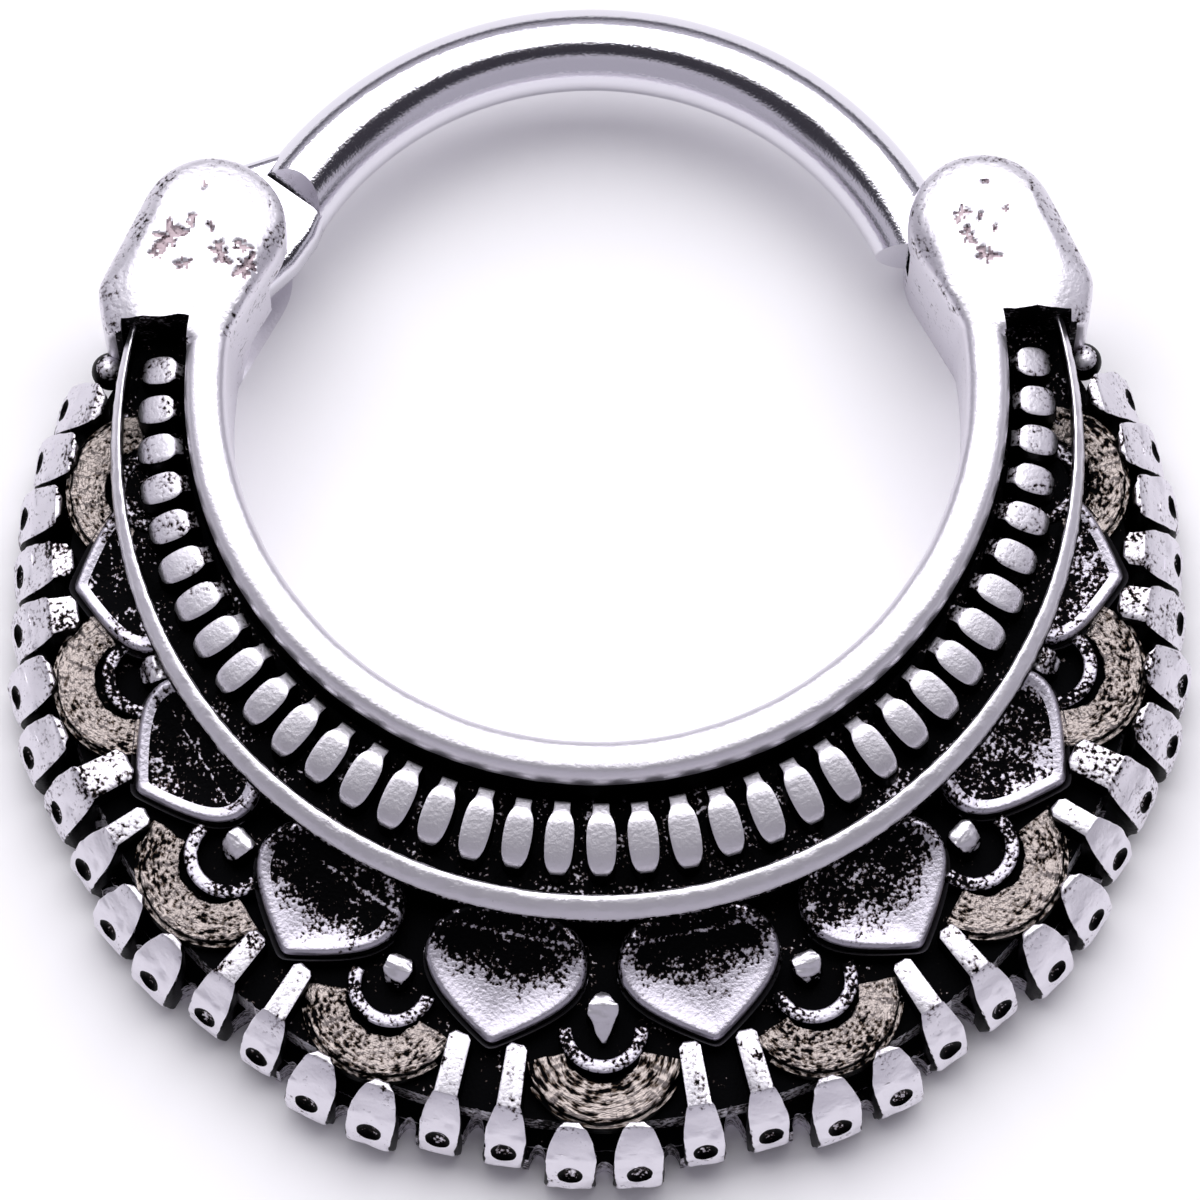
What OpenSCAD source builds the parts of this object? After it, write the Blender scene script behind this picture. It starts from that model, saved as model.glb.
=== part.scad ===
// Hinged septum ring with a cast fan. It lies on its flat back, face up, the bar towards +Y.
// Angles round the ring start straight down the fan, at -Y, and grow towards +X.

/* [Bar] */
// Thickness of the round steel bar, 16 gauge
bar_gauge = 1.2; // [1.15:0.05:1.25]
// Radius of the bar's bend, measured to the middle of the wire
bar_bend = 5.15; // [5.1:0.05:5.2]
// Height of the middle of the wire over the flat back
bar_height = 1.35; // [1.3:0.05:1.4]
// Radius of the flattened eye that turns on the hinge pin
eye_r = 1.2; // [1.1:0.05:1.25]

/* [Rim] */
// Radius of the round opening inside the rim
rim_inner = 5.28; // [5.2:0.02:5.32]
// Width of the half-round rim
rim_width = 0.61; // [0.55:0.02:0.65]
// Height of the rim's crown over the flat back
rim_top = 2.6; // [2.4:0.1:2.7]

/* [Drop channel] */
// Number of raised drops, an odd number
drop_count = 37; // [33:2:37]
// Angle from one drop to the next, in degrees
drop_pitch = 5.35; // [5:0.05:5.4]
// Height of the blackened channel floor
channel_top = 1.5; // [1.4:0.05:1.6]
// Height of the drops and of the ridge outside them
relief_top = 2.2; // [2.1:0.05:2.3]

/* [Fan] */
// Height of the fan's floor between its raised work
fan_top = 1.2; // [1.1:0.05:1.3]
// Number of hearts, an even number
heart_count = 8; // [6:2:8]
// Angle that one heart and one arched cell take up, in degrees
cell_pitch = 24; // [23.5:0.1:24]
// Height of the notched skirt under the prongs
skirt_top = 0.8; // [0.7:0.05:0.9]
// Height of the hearts' raised edge
heart_top = 1.95; // [1.85:0.05:2]
// Width of a heart across its shoulders
heart_width = 2.36; // [2.2:0.02:2.4]
// Width of a prong at its outer end
prong_width = 0.66; // [0.6:0.02:0.68]

/* [Lugs and hinge] */
// Radius of the domed head of each lug
lug_r = 1.06; // [1:0.02:1.1]
// Height of the lug domes over the flat back
lug_top = 2.9; // [2.8:0.05:3]
// Width of the slot that takes a flattened end of the bar
slot_width = 1; // [0.98:0.01:1.02]
// Clearance between a flattened end and each wall of its slot
slot_clear = 0.05; // [0.04:0.01:0.06]
// Diameter of the hinge pin
pin_d = 0.8; // [0.7:0.05:0.9]
// Radial clearance of the eye on the pin
pin_clear = 0.04; // [0.02:0.01:0.08]
// Radial clearance of the fixed pin in the casting
pin_seat = 0.02; // [0.01:0.01:0.03]

/* [Hidden] */
$fn = 96;
// Heights that start below the part and end above it, for tools that cut right through
BELOW = -1;
THROUGH = 5;
// Half width of a blunted point
BLUNT = 0.02;

// Centres of the arcs, from the centre of the rim's opening
bar_centre = [-0.08, 0.32];
drop_centre = [0, -0.315];
ridge_centre = [0, -0.835];
ridge_inner_centre = [0, -0.63];
fan_centre = [0, -1.9];
pivot = [-5.5, 2.45];
catch = [5.56, 2.38];

// Rim and the ridge outside the drops
rim_sweep = 107;
rim_steps = 8;
ridge_r = 6.96;
ridge_inner_r = 6.8;
lug_foot_y = 0.95;

// The slots in the lugs and the flattened ends that fill them
slot_low = bar_height - slot_width / 2;
tang_low = slot_low + slot_clear;
tang_high = slot_low + slot_width - slot_clear;
eye_slot_r = eye_r + slot_clear + 0.02;
eye_slot_y = 1.95;
catch_slot_y = 1.36;
tube_from = 27.5;
tube_to = 140;
// How far a flattened end reaches into the round wire, in degrees and from the wire's middle
tang_deep = 5;
tang_half = 0.3 * bar_gauge;
lug_gap = 0.1;
pin_top = 2.33;

// Fan proportions: every cell is drawn to the fan's reach at its own angle
prong_step = cell_pitch / 4;
cell_span = heart_count / 2;
band_out = 0.924;
band_in = 0.877;
arch_out = 0.852;
arch_in = 0.836;
nub_out = 0.8;
nub_in = 0.735;
skirt_back = 0.74;
sunk = 0.3;
short_w = prong_width + 0.05;
long_w = prong_width - 0.03;
tip_share = 0.38;

// The part's origin is under the middle of its outline
low_a = prong_step / 2;
low_y = fan_centre[1] - short_tip(low_a) * cos(low_a) - tip_share * short_w * sin(low_a);
high_y = bar_centre[1] + bar_bend + bar_gauge / 2;
mid_y = (low_y + high_y) / 2;

// How far the fan reaches from its centre at angle a
function reach(a) = 8.225 + 1.269 * cos(a) - 0.119 * cos(2 * a);

// Radius of the tip of a short and of a long prong; both lean out further at the sides
function short_tip(a) = reach(a) + 0.12 - 0.05 * cos(a);
function long_tip(a) = reach(a) + 0.05 - 0.2 * cos(a);

// Angle from the middle of the nearest cell
function in_cell(a) = abs(a - cell_pitch * round(a / cell_pitch));

// How far the skirt stays inside the reach, deepest between two long prongs
function notch(a) = lookup(in_cell(a) / prong_step,
    [[0, 0.17], [0.5, 0.2], [1, 0.3], [1.5, 0.42], [2, 0.79]]);

// A point at radius r and angle a round centre c
function at(c, r, a) = [c[0] + r * sin(a), c[1] - r * cos(a)];

// Half an outline and its mirror image across the line u = 0
function both(half) = concat(half, [for (i = [len(half) - 1:-1:0]) [-half[i][0], half[i][1]]]);

// Outline of a drop of width w and length l, its neck towards the rim
function drop_outline(w, l) = both([
    [0.26 * w, -0.5 * l], [0.31 * w, -0.3 * l], [0.46 * w, -0.05 * l],
    [0.5 * w, 0.2 * l], [0.4 * w, 0.42 * l], [0.18 * w, 0.5 * l]]);

// Outline of a heart from its top edge out to the point at radius tip
function heart_outline(tip, shoulder, top) = both(concat(
    [[0.36 * heart_width, top]],
    [for (t = [0:15:75]) [heart_width / 2 * cos(t),
        shoulder + (tip - shoulder) * (0.7 * sin(t) + 0.3 * pow(1 - cos(t), 3))]],
    [[BLUNT, tip]]));

// Half-round section of the rim
function rim_section() = concat(
    [[rim_inner, 0], [rim_inner + rim_width, 0]],
    [for (i = [0:rim_steps]) [rim_inner + rim_width / 2 * (1 + cos(180 * i / rim_steps)),
        rim_top - rim_width / 2 * (1 - sin(180 * i / rim_steps))]]);

// Places children at angle a round centre c, with their +Y pointing outwards
module spoke(c, a) {
    translate([c[0], c[1], 0]) rotate([0, 0, a - 180]) children();
}

// Sweeps a section in radius and height from angle a1 to a2 round centre c
module sweep(c, a1, a2) {
    translate([c[0], c[1], 0]) rotate([0, 0, a1 - 90]) rotate_extrude(angle = a2 - a1) children();
}

// A flat-bottomed slab of the given outline between two heights
module slab(z0, z1, outline) {
    translate([0, 0, z0]) linear_extrude(z1 - z0) polygon(outline);
}

// A round tool at centre c that cuts right through
module bore(c, r) {
    translate([c[0], c[1], BELOW]) cylinder(r = r, h = THROUGH);
}

module rim() {
    sweep([0, 0], -rim_sweep, rim_sweep) polygon(rim_section());
}

// Fan plate: a floor inside the prongs, and a lower skirt that is notched between them
module plate() {
    last = (cell_span + 0.5) * cell_pitch;
    angles = [-last:prong_step / 2:last];
    foot = [[7.1, lug_foot_y + 0.1], [-7.1, lug_foot_y + 0.1]];
    difference() {
        union() {
            slab(0, fan_top, concat([for (a = angles) at(fan_centre, reach(a) - skirt_back, a)], foot));
            slab(0, skirt_top, concat([for (a = angles) at(fan_centre, reach(a) - notch(a), a)], foot));
        }
        bore([0, 0], rim_inner + rim_width / 2);
    }
}

// Part of a disc below the lugs' feet
module low_disc(c, r, h) {
    intersection() {
        translate([c[0], c[1], 0]) cylinder(r = r, h = h);
        translate([-9, -12, BELOW]) cube([18, 12 + lug_foot_y + 0.15, THROUGH]);
    }
}

module channel() {
    difference() {
        low_disc(ridge_centre, ridge_r - 0.1, channel_top);
        bore([0, 0], rim_inner + rim_width * 0.6);
    }
}

// Ridge that narrows towards the lugs, from two circles that aren't quite concentric
module ridge() {
    difference() {
        low_disc(ridge_centre, ridge_r, relief_top);
        bore(ridge_inner_centre, ridge_inner_r);
    }
}

module drops() {
    side = (drop_count - 1) / 2;
    for (i = [-side:side]) {
        a = i * drop_pitch;
        spoke(drop_centre, a) translate([0, 6.25 + 0.04 * cos(a), 0])
            slab(channel_top - sunk, relief_top, drop_outline(0.44, 0.66 + 0.38 * cos(a)));
    }
}

// Dished heart, raised round its edge and tucked under the ridge
module heart(a) {
    tip = 7.785 - 0.19 * (1 - cos(a));
    dish_r = 2.4;
    dish_deep = 0.22;
    difference() {
        spoke(fan_centre, a) difference() {
            slab(fan_top - sunk, heart_top, heart_outline(tip, 6.55, 5.9));
            translate([0, 6.7, heart_top - dish_deep + dish_r]) sphere(r = dish_r);
        }
        bore(ridge_centre, ridge_r - 0.08);
    }
}

module hearts() {
    for (i = [0:heart_count - 1])
        heart((i - (heart_count - 1) / 2) * cell_pitch);
}

// Nub, arch and rough band that fill one cell between two hearts
module cell(a) {
    far = reach(a);
    arch_r = 0.65;
    band_r = 1.12;
    spoke(fan_centre, a) {
        slab(fan_top - sunk, fan_top + 0.55, both([
            [0.18, nub_in * far], [0.3, (nub_in + 0.03) * far], [0.16, (nub_out - 0.012) * far],
            [BLUNT, nub_out * far]]));
        cell_arc(arch_out * far - arch_r, arch_r - (arch_out - arch_in) * far, arch_r, 0.35, 95);
        cell_arc(band_out * far - band_r, band_r - (band_out - band_in) * far, band_r, 0.4, 78);
    }
}

// Arch about a centre at radius v, open towards the rim
module cell_arc(v, r0, r1, rise, half_sweep) {
    translate([0, v, fan_top - sunk]) rotate([0, 0, 90 - half_sweep])
        rotate_extrude(angle = 2 * half_sweep) translate([r0, 0]) square([r1 - r0, rise + sunk]);
}

module cells() {
    for (i = [-cell_span:cell_span]) cell(i * cell_pitch);
}

// Faceted prong: a level top, a slope, and a steep toe with a dimple in it
module prong(a, root, tip, w, dimple_r) {
    crest_z = 1.72;
    lip_z = 1.3;
    toe_z = 0.72;
    lip = tip - 0.27;
    level_to = max(root + 0.15, tip - 0.72);
    tilt = atan2(lip_z - toe_z, tip - lip);
    spoke(fan_centre, a) difference() {
        intersection() {
            slab(0, 3, both([[0.2 * w, root], [0.38 * w, tip - 0.6], [0.5 * w, tip - 0.36],
                [0.5 * w, tip - 0.12], [tip_share * w, tip]]));
            rotate([90, 0, 90]) translate([0, 0, -1]) linear_extrude(2) polygon([
                [root, 0], [root, 1.5], [root + 0.1, crest_z], [level_to, crest_z], [lip, lip_z],
                [tip, toe_z], [tip - 0.03, 0.45], [tip - 0.19, 0]]);
        }
        translate([0, (lip + tip) / 2, (lip_z + toe_z) / 2]) rotate([-tilt, 0, 0])
            cylinder(r = dimple_r, h = 0.2, center = true);
    }
}

// Two long prongs beside each heart's point and two short ones under each cell
module prongs() {
    last = cell_span * cell_pitch + 1.5 * prong_step;
    for (a = [-last:prong_step:last]) {
        short_one = in_cell(a) < prong_step;
        if (short_one)
            prong(a, 0.928 * reach(a), short_tip(a), short_w, 0.16);
        else
            prong(a, min(7.65, long_tip(a) - 0.78), long_tip(a), long_w, 0.19);
    }
}

// Small bead between each lug and the end of the fan
module end_bead(side) {
    bead_r = 0.28;
    translate([side * 7.02, 0.71, fan_top - bead_r / 2]) sphere(r = bead_r);
}

// Domed lug: a round head at c over a foot that spreads outwards, one side from the mirror
module lug(c, side) {
    crown_r = 2;
    mirror([side < 0 ? 1 : 0, 0, 0]) intersection() {
        slab(0, lug_top + 0.3, lug_outline([c[0] * side, c[1]]));
        translate([c[0] * side + 0.1, c[1] - 0.5, lug_top - crown_r]) sphere(r = crown_r);
    }
}

// Plan of the lug on the +X side: the head's arc, the outer shoulder and the foot
function lug_outline(c) = concat(
    [for (t = [200:-15:25]) [c[0] + lug_r * cos(t), c[1] + lug_r * sin(t)]],
    [[c[0] + 1.25, c[1] - 0.2], [7.12, c[1] - 0.7], [7.16, 1.35], [6.95, lug_foot_y],
     [rim_inner - 0.1, lug_foot_y], [5.02, 1.5]]);

// Slot for the eye, open above the pin to let the bar swing
module eye_slot() {
    translate([pivot[0], pivot[1], slot_low]) cylinder(r = eye_slot_r, h = slot_width);
    translate([-9, eye_slot_y, slot_low]) cube([7, 4, slot_width]);
}

// Slot that the free end of the bar drops into
module catch_slot() {
    translate([3, catch_slot_y, slot_low]) cube([6, 4, slot_width]);
}

module fan_casting() {
    color("silver") translate([0, -mid_y, 0]) difference() {
        union() {
            rim();
            plate();
            channel();
            ridge();
            drops();
            hearts();
            cells();
            prongs();
            end_bead(-1);
            end_bead(1);
            lug(pivot, -1);
            lug(catch, 1);
        }
        eye_slot();
        catch_slot();
        translate([pivot[0], pivot[1], BELOW])
            cylinder(r = pin_d / 2 + pin_seat, h = pin_top + 0.07 - BELOW);
    }
}

// Round wire between its two shoulders
module tube() {
    difference() {
        translate([bar_centre[0], bar_centre[1], bar_height]) rotate([0, 0, tube_from])
            rotate_extrude(angle = tube_to - tube_from) translate([bar_bend, 0]) circle(d = bar_gauge);
        bore(catch, lug_r + lug_gap);
    }
}

// A point of the bar's arc at radius r and angle a, which starts at +X
function on_bar(r, a) = bar_centre + r * [cos(a), sin(a)];

// A point of the hinge eye at radius r and angle a, which starts at +X
function on_eye(r, a) = pivot + r * [cos(a), sin(a)];

// Flattened end with the eye, and its neck into the tube
module eye_tang() {
    a = tube_to + 4;
    inner = eye_r - 0.02;
    neck = [on_eye(inner, 105), on_bar(bar_bend + 0.56, a), on_bar(bar_bend + tang_half, tube_to - 1),
        on_bar(bar_bend + tang_half, tube_to - tang_deep),
        on_bar(bar_bend - tang_half, tube_to - tang_deep),
        on_bar(bar_bend - 0.35, a), on_eye(eye_r + 0.16, -3), on_eye(inner, -32)];
    translate([pivot[0], pivot[1], tang_low]) cylinder(r = eye_r, h = tang_high - tang_low);
    slab(tang_low, tang_high, neck);
}

// Flattened free end that drops between the catch lug's walls
module catch_tang() {
    end_y = catch_slot_y + 0.08;
    slab(tang_low, tang_high, [
        on_bar(bar_bend - tang_half, tube_from + tang_deep), on_bar(bar_bend - 0.37, tube_from),
        catch + [-lug_r, -0.22], [catch[0] - 0.64, end_y], [catch[0] - 0.11, end_y],
        catch + [0.06, -0.48], catch + [-0.18, 0.12],
        on_bar(bar_bend + tang_half, tube_from + tang_deep)]);
}

module clicker_bar() {
    color("lightsteelblue") translate([0, -mid_y, 0]) difference() {
        union() {
            tube();
            eye_tang();
            catch_tang();
        }
        bore(pivot, pin_d / 2 + pin_clear);
    }
}

// Plain pin, blind under the dome and just inside the flat back
module hinge_pin() {
    from = 0.03;
    color("gray") translate([pivot[0], pivot[1] - mid_y, from]) cylinder(d = pin_d, h = pin_top - from);
}

fan_casting();
clicker_bar();
hinge_pin();
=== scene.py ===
# %% [markdown]
# A hinged septum ring lies on its flat back, face up. Its body is one casting: a rim round the opening,
# a channel with raised drops, a ridge, hearts, arched cells and a row of prongs round the edge.
# The casting is silver plated, dipped black and rubbed bright again where a cloth can reach.
# A polished steel bar closes the opening at the top and swings on a hidden pin.
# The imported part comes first. It fixes the size and place of all that follows.

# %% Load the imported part
import math

import bpy
import numpy as np
from mathutils import Matrix, Vector


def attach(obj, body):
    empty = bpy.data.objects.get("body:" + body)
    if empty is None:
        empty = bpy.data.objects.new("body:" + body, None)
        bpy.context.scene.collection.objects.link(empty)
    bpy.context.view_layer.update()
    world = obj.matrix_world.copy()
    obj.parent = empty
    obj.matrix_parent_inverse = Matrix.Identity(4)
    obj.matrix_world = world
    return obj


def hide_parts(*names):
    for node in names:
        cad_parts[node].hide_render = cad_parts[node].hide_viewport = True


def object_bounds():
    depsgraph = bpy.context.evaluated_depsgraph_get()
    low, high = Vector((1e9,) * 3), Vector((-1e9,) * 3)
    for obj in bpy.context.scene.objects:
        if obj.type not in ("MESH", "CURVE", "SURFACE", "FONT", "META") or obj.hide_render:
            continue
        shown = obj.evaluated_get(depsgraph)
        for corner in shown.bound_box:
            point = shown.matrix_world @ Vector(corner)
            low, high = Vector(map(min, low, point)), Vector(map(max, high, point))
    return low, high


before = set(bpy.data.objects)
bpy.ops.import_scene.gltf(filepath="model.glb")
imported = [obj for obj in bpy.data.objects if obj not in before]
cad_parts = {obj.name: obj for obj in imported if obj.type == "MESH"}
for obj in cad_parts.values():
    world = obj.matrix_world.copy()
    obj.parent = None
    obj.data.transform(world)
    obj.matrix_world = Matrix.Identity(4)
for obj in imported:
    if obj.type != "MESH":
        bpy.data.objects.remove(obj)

cad_box = [list(map(float, corner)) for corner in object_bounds()]
print("CAD box in mm:", [[round(1000 * v, 2) for v in corner] for corner in cad_box])

# %% [markdown]
# Jewellery is tiny, and many of Blender's tools round off at a tenth of a millimetre.
# So each piece is modelled with 1 unit as 1 mm, round the middle of the opening, as on a jeweller's
# enlarged drawing. The last step of each piece scales it to metres and sets it in its place.

# %% Helpers to select and edit by place
MM = 0.001
RING_Y = 2.6376  # the middle of the opening in the part's own frame, in mm


def calm():
    """Object mode with nothing selected."""
    if bpy.context.object and bpy.context.object.mode != "OBJECT":
        bpy.ops.object.mode_set(mode="OBJECT")
    bpy.ops.object.select_all(action="DESELECT")


def take(*pieces):
    """Selects pieces, the first one active."""
    calm()
    for piece in pieces:
        piece.select_set(True)
    bpy.context.view_layer.objects.active = pieces[0]


def edit(kind="FACE", action="SELECT"):
    """Edit mode of the active piece, with all of its vertices, edges or faces selected, or none."""
    bpy.ops.object.mode_set(mode="EDIT")
    bpy.ops.mesh.select_mode(type=kind)
    bpy.ops.mesh.select_all(action=action)


def pick(piece, kind, test):
    """Selects the vertices, edges or faces whose place passes the test, and stays in edit mode."""
    edit(kind, "DESELECT")
    bpy.ops.object.mode_set(mode="OBJECT")
    me = piece.data
    if kind == "VERT":
        for v in me.vertices:
            v.select = bool(test(v.co))
    elif kind == "EDGE":
        for e in me.edges:
            e.select = all(test(me.vertices[i].co) for i in e.vertices)
    else:
        for f in me.polygons:
            f.select = bool(test(f.center, f.normal))
    bpy.ops.object.mode_set(mode="EDIT")


# %% [markdown]
# Modifiers round, divide, cut and roughen a piece. Each one is applied at once, so that the next step
# finds plain faces that it can select by their place.

# %% Helpers to shape a piece
def modify(piece, kind, **settings):
    """Adds a modifier with its settings and applies it."""
    take(piece)
    m = piece.modifiers.new(kind.title(), kind)
    for key, value in settings.items():
        setattr(m, key, value)
    bpy.ops.object.modifier_apply(modifier=m.name)
    return piece


def rounded(piece, width, sharper=30, segments=2):
    """Rounds the edges that are sharper than an angle."""
    return modify(piece, "BEVEL", width=width, segments=segments, limit_method="ANGLE",
                  angle_limit=math.radians(sharper))


def finer(piece, levels=1, kind="CATMULL_CLARK"):
    """Divides a piece into smaller faces, and softens it unless the kind is SIMPLE."""
    return modify(piece, "SUBSURF", levels=levels, render_levels=levels, subdivision_type=kind)


def cut(piece, tool, operation="DIFFERENCE", overlaps=False):
    """Cuts the tool out of the piece, or joins it on, and throws the tool away."""
    modify(piece, "BOOLEAN", object=tool, operation=operation, solver="EXACT", use_self=overlaps)
    bpy.data.objects.remove(tool)
    return piece


def trim(piece, point, normal):
    """Cuts away what lies beyond a plane and closes the cut."""
    take(piece)
    edit("FACE")
    bpy.ops.mesh.bisect(plane_co=point, plane_no=normal, use_fill=True, clear_outer=True)
    calm()
    return piece


def flat_back(piece):
    """Cuts a piece level a hair over the table."""
    return trim(piece, (0, 0, 0.001), (0, 0, -1))


def grainy(piece, grain, depth, group=""):
    """Pushes the surface in and out by a cloudy pattern of that grain, in mm."""
    clouds = bpy.data.textures.new("cast grain", "CLOUDS")
    clouds.noise_scale, clouds.noise_depth = grain, 2
    return modify(piece, "DISPLACE", texture=clouds, strength=depth, mid_level=0.5,
                  texture_coords="LOCAL", vertex_group=group)


# %% [markdown]
# A piece is modelled at the top of the ring, along +Y, and then turned to its place in the fan. Place and
# turn are written into its mesh at once. Cylinders and blocks serve as cutters and as parts of the lugs.

# %% Helpers to place, copy and join, and two plain solids
FAN = (0.0, -1.9)  # the point that the hearts, cells and prongs are set out from


def settle(piece):
    """Writes a piece's place, turn and size into its mesh."""
    take(piece)
    bpy.ops.object.transform_apply(location=True, rotation=True, scale=True)
    return piece


def copy_of(piece):
    """A copy with a mesh of its own."""
    take(piece)
    bpy.ops.object.duplicate(linked=False)
    return bpy.context.object


def spoke(piece, angle, centre=FAN):
    """Turns a piece from +Y to an angle round the centre. 0 is straight down, 90 to the right."""
    piece.rotation_euler = (0, 0, math.radians(angle - 180))
    piece.location = (centre[0], centre[1], 0)
    return settle(piece)


def joined(pieces):
    """One piece from many."""
    take(*pieces)
    bpy.ops.object.join()
    return bpy.context.object


def cylinder(place, radius, high, sides=96):
    """An upright cylinder round a place."""
    bpy.ops.mesh.primitive_cylinder_add(vertices=sides, radius=radius, depth=high, location=place)
    return settle(bpy.context.object)


def block(place, size, turn=0.0):
    """A block round a place, turned by an angle seen from above."""
    bpy.ops.mesh.primitive_cube_add(size=1)
    one = bpy.context.object
    one.scale, one.rotation_euler, one.location = size, (0, 0, math.radians(turn)), place
    return settle(one)


# %% [markdown]
# Two ways of drawing out a shape serve most of the casting.
# A ring is one circle that is extruded again and again, each time to a new size, height and middle.
# A spar is one upright face that is drawn out along its length, and gets wider, narrower or lower.

# %% Rings and spars
def ring(stations, corners):
    """A closed ring through stations of (middle y, half width x, half width y, height)."""
    calm()
    cy, rx, ry, z = stations[0]
    bpy.ops.mesh.primitive_circle_add(vertices=corners, radius=1, location=(0, 0, 0))
    piece = bpy.context.object
    piece.scale, piece.location = (rx, ry, 1), (0, cy, z)
    settle(piece)
    edit("EDGE")
    for (y0, rx0, ry0, z0), (y1, rx1, ry1, z1) in zip(stations, stations[1:]):
        bpy.ops.mesh.extrude_region_move(TRANSFORM_OT_translate={"value": (0, y1 - y0, z1 - z0)})
        bpy.ops.transform.resize(value=(rx1 / rx0, ry1 / ry0, 1), center_override=(0, y1, z1))
    edit("EDGE", "DESELECT")
    bpy.ops.object.mode_set(mode="OBJECT")
    last = len(piece.data.vertices) - corners
    for e in piece.data.edges:
        e.select = all(i < corners or i >= last for i in e.vertices)
    bpy.ops.object.mode_set(mode="EDIT")
    bpy.ops.mesh.bridge_edge_loops()
    bpy.ops.mesh.select_all(action="SELECT")
    bpy.ops.mesh.normals_make_consistent(inside=False)
    calm()
    return piece


def spar(stations):
    """A closed bar along +Y through stations of (place y, width, height)."""
    calm()
    y, w, h = stations[0]
    bpy.ops.mesh.primitive_plane_add(size=1, rotation=(math.pi / 2, 0, 0))
    piece = bpy.context.object
    piece.scale, piece.location = (w, h, 1), (0, y, h / 2)
    settle(piece)
    edit("FACE")
    for (y0, w0, h0), (y1, w1, h1) in zip(stations, stations[1:]):
        bpy.ops.mesh.extrude_region_move(TRANSFORM_OT_translate={"value": (0, y1 - y0, 0)})
        bpy.ops.transform.resize(value=(w1 / w0, 1, h1 / h0), center_override=(0, y1, 0))
    bpy.ops.mesh.select_all(action="SELECT")
    bpy.ops.mesh.normals_make_consistent(inside=False)
    calm()
    return piece


# %% [markdown]
# The black dip stays where the polishing cloth can't reach: floors, walls, dimples, the hollows of hearts.
# Each face gets a number called rub: up to 0 for untouched black, about 0.6 for half and half, and 1.2 or
# more for bright. The plate's material reads it, so bright and black follow the shape.

# %% The rub of each face
def rub(piece, rule):
    """Stores rule(places, normals) on the piece's faces. Places are in mm."""
    me = piece.data
    n = len(me.polygons)
    places, normals = np.zeros(3 * n), np.zeros(3 * n)
    me.polygons.foreach_get("center", places)
    me.polygons.foreach_get("normal", normals)
    value = rule(places.reshape(-1, 3), normals.reshape(-1, 3))
    layer = me.attributes.get("rub") or me.attributes.new("rub", "FLOAT", "FACE")
    layer.data.foreach_set("value", value.astype(np.float32))
    return piece


def ease(x, low, high):
    """0 below low, 1 above high, smooth between."""
    t = np.clip((x - low) / (high - low), 0, 1)
    return t * t * (3 - 2 * t)


def finish(piece, name, material, body="casting", crease=35):
    """Scales a piece to metres at its place, gives it its finish and lets it ride on its body."""
    take(piece)
    edit("FACE")
    bpy.ops.mesh.normals_make_consistent(inside=False)
    bpy.ops.object.mode_set(mode="OBJECT")
    piece.scale, piece.location = (MM, MM, MM), (0, RING_Y * MM, 0)
    settle(piece)
    bpy.ops.object.shade_smooth_by_angle(angle=math.radians(crease))
    piece.name = piece.data.name = name
    piece.data.materials.clear()
    piece.data.materials.append(material)
    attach(piece, body)
    low, high = (Vector(c) / MM for c in (piece.bound_box[0], piece.bound_box[6]))
    print(f"{name}: {len(piece.data.polygons)} faces, {high.x - low.x:.2f} x {high.y - low.y:.2f} x"
          f" {high.z - low.z:.2f} mm")
    return piece


# %% [markdown]
# A material is a small chain of nodes. One function adds a node with its settings and links.

# %% Colours and nodes
def tone(code):
    """An sRGB hex colour as linear red, green, blue and alpha."""
    parts = [int(code[i:i + 2], 16) / 255 for i in (1, 3, 5)]
    return tuple(c / 12.92 if c <= 0.04045 else ((c + 0.055) / 1.055) ** 2.4 for c in parts) + (1.0,)


def node(tree, kind, links=(), **settings):
    """Adds a node. links pairs an input with an output, and settings are its properties or input values."""
    made = tree.nodes.new("ShaderNode" + kind)
    for key, value in settings.items():
        if hasattr(made, key):
            setattr(made, key, value)
        else:
            made.inputs[key.replace("_", " ")].default_value = value
    for name, output in dict(links).items():
        tree.links.new(output, made.inputs[name])
    return made


def blank(name):
    """A new material with its shader, and the tree to add to."""
    made = bpy.data.materials.new(name)
    made.use_nodes = True
    return made, made.node_tree, made.node_tree.nodes["Principled BSDF"]


# %% [markdown]
# Oxidised silver plate is silver on cast brass, dipped in liver of sulphur until it is black.
# The dip leaves a thin skin: black where it is thick, brown where it thins out, gone where it was rubbed.
# Under the rub the silver is satin, because the casting was tumbled, so it glows and doesn't mirror.
# The edge between black and bright is ragged: the skin holds on in each pit of the cast surface.
# So a fine cloud and a coarse one are added to the rub before it is turned into colour.
# Pits of 0.05 mm are too small to see one by one, so they are drawn a little larger.
# The same plate has four finishes: rubbed bright, satin in the hollows, warm and rough as cast on the
# bands, and tarnished in the pits of the lugs. On the bands the clouds run along the arc, as streaks.

# %% Oxidised silver plate
FINE_PITS, PATCHES = 0.06, 0.42  # the grain of the two clouds, in mm
CLOUD = {"From_Min": 0.3, "From_Max": 0.7}  # most of a cloud's values lie between these


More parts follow.
